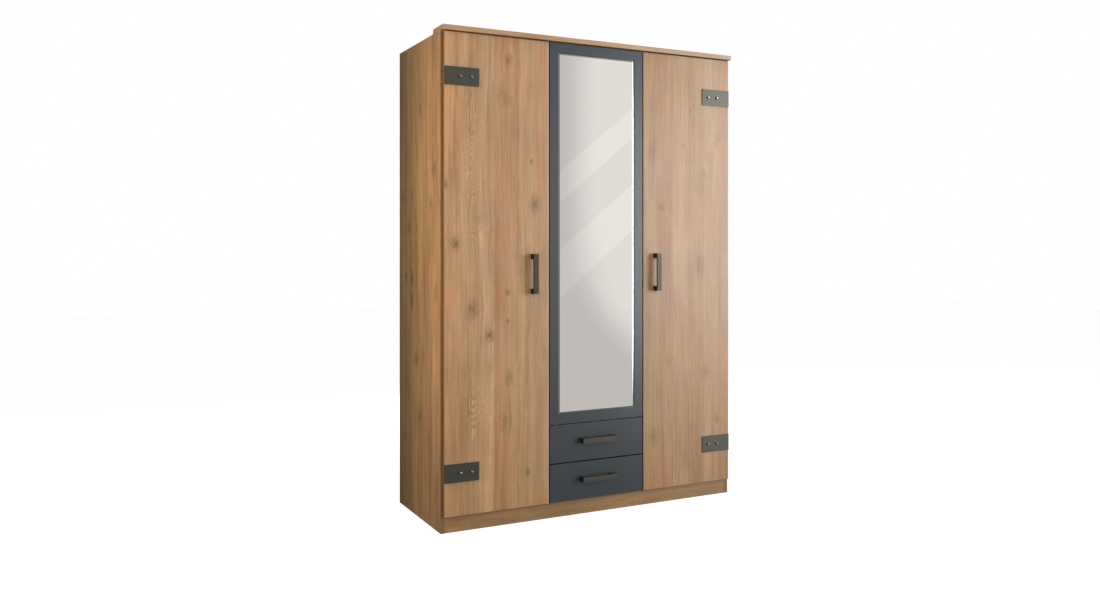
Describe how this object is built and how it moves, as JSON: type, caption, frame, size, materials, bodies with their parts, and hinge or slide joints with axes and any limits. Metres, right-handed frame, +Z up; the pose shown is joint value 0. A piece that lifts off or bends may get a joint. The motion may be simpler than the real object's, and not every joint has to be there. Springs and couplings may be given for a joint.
{
  "type": "wardrobe with doors",
  "caption": "Free-standing wardrobe with hinged oak-decor side doors, a framed mirror door over drawers, a cornice and shelves and a hanging rail inside.",
  "frame": {"origin": "bottom centre of the bounding box, on the floor", "axes": "+Z up, the doors face -Y, +X to the right seen from the front"},
  "size_m": [1.35, 0.61, 1.98],
  "materials": {
    "oak_decor": "matt plank-oak decor",
    "graphite_decor": "matt graphite decor",
    "mirror": "polished with bevelled edge",
    "hardboard": "matt",
    "drawer_board": "matt",
    "dark_metal": "brushed dark",
    "strap_metal": "satin dark",
    "bolt_metal": "satin dark",
    "nylon": "satin",
    "runner_steel": "white enamel",
    "screw_steel": "plated",
    "plated_steel": "nickel plated"
  },
  "bodies": {
    "carcass": {"left_side": "oak_decor", "right_side": "oak_decor", "left_divider": "oak_decor", "right_divider": "oak_decor", "top_panel": "oak_decor", "bottom_panel": "oak_decor", "front_plinth": "oak_decor", "rear_plinth": "oak_decor", "cornice": "oak_decor", "back_sheets": "hardboard", "back_nails": "screw_steel", "front_stretchers": "oak_decor", "hat_shelf": "oak_decor", "hanging_rail": "plated_steel", "rail_sockets": "plated_steel", "drawer_cover": "oak_decor", "centre_shelf_lower": "oak_decor", "centre_shelf_middle": "oak_decor", "centre_shelf_upper": "oak_decor", "right_shelf_first": "oak_decor", "right_shelf_second": "oak_decor", "right_shelf_third": "oak_decor", "right_shelf_fourth": "oak_decor", "shelf_pins": "plated_steel", "carcass_screws": "screw_steel", "wall_brackets": "plated_steel", "cabinet_runners": "runner_steel", "hinge_arms": "plated_steel"},
    "left_door": {"left_door": "oak_decor", "left_door_handle": "dark_metal", "left_door_straps": "strap_metal", "left_door_bolts": "bolt_metal", "left_door_cups": "plated_steel"},
    "right_door": {"right_door": "oak_decor", "right_door_handle": "dark_metal", "right_door_straps": "strap_metal", "right_door_bolts": "bolt_metal", "right_door_cups": "plated_steel"},
    "mirror_door": {"mirror_door": "graphite_decor", "mirror_stiles": "graphite_decor", "mirror_rails": "graphite_decor", "mirror_glass": "mirror", "mirror_door_cups": "plated_steel"},
    "upper_drawer": {"upper_front": "graphite_decor", "upper_box_sides": "drawer_board", "upper_box_back": "drawer_board", "upper_box_bottom": "hardboard", "upper_handle": "dark_metal", "upper_members": "runner_steel"},
    "lower_drawer": {"lower_front": "graphite_decor", "lower_box_sides": "drawer_board", "lower_box_back": "drawer_board", "lower_box_bottom": "hardboard", "lower_handle": "dark_metal", "lower_members": "runner_steel"},
    "upper_cabinet_rollers": {"upper_cabinet_rollers": "nylon"},
    "lower_cabinet_rollers": {"lower_cabinet_rollers": "nylon"},
    "upper_drawer_rollers": {"upper_rollers": "nylon"},
    "lower_drawer_rollers": {"lower_rollers": "nylon"}
  },
  "joints": [
    {"name": "left_door_swing", "type": "hinge", "parent": "carcass", "child": "left_door", "pos_m": [-0.6596, -0.264, 1], "axis": [0, 0, -1], "range_deg": [0, 95]},
    {"name": "right_door_swing", "type": "hinge", "parent": "carcass", "child": "right_door", "pos_m": [0.6596, -0.264, 1], "axis": [0, 0, 1], "range_deg": [0, 95]},
    {"name": "mirror_door_swing", "type": "hinge", "parent": "carcass", "child": "mirror_door", "pos_m": [-0.2116, -0.264, 1], "axis": [0, 0, -1], "range_deg": [0, 95]},
    {"name": "upper_drawer_slide", "type": "slide", "parent": "carcass", "child": "upper_drawer", "axis": [0, -1, 0], "range_m": [0, 0.35]},
    {"name": "lower_drawer_slide", "type": "slide", "parent": "carcass", "child": "lower_drawer", "axis": [0, -1, 0], "range_m": [0, 0.35]},
    {"name": "upper_cabinet_roller_spin", "type": "hinge", "parent": "carcass", "child": "upper_cabinet_rollers", "pos_m": [0, -0.233, 0.2705], "axis": [1, 0, 0], "range_deg": [0, 1830.3]},
    {"name": "lower_cabinet_roller_spin", "type": "hinge", "parent": "carcass", "child": "lower_cabinet_rollers", "pos_m": [0, -0.233, 0.11], "axis": [1, 0, 0], "range_deg": [0, 1830.3]},
    {"name": "upper_drawer_roller_spin", "type": "hinge", "parent": "upper_drawer", "child": "upper_drawer_rollers", "pos_m": [0, 0.185, 0.2685], "axis": [1, 0, 0], "range_deg": [0, 2119.3]},
    {"name": "lower_drawer_roller_spin", "type": "hinge", "parent": "lower_drawer", "child": "lower_drawer_rollers", "pos_m": [0, 0.185, 0.108], "axis": [1, 0, 0], "range_deg": [0, 2119.3]}
  ],
  "couplings": [
    {"joint": "upper_cabinet_roller_spin", "follows": "upper_drawer_slide", "rad_per_m": 90.909},
    {"joint": "lower_cabinet_roller_spin", "follows": "lower_drawer_slide", "rad_per_m": 90.909},
    {"joint": "upper_drawer_roller_spin", "follows": "upper_drawer_slide", "rad_per_m": 105.26},
    {"joint": "lower_drawer_roller_spin", "follows": "lower_drawer_slide", "rad_per_m": 105.26}
  ]
}
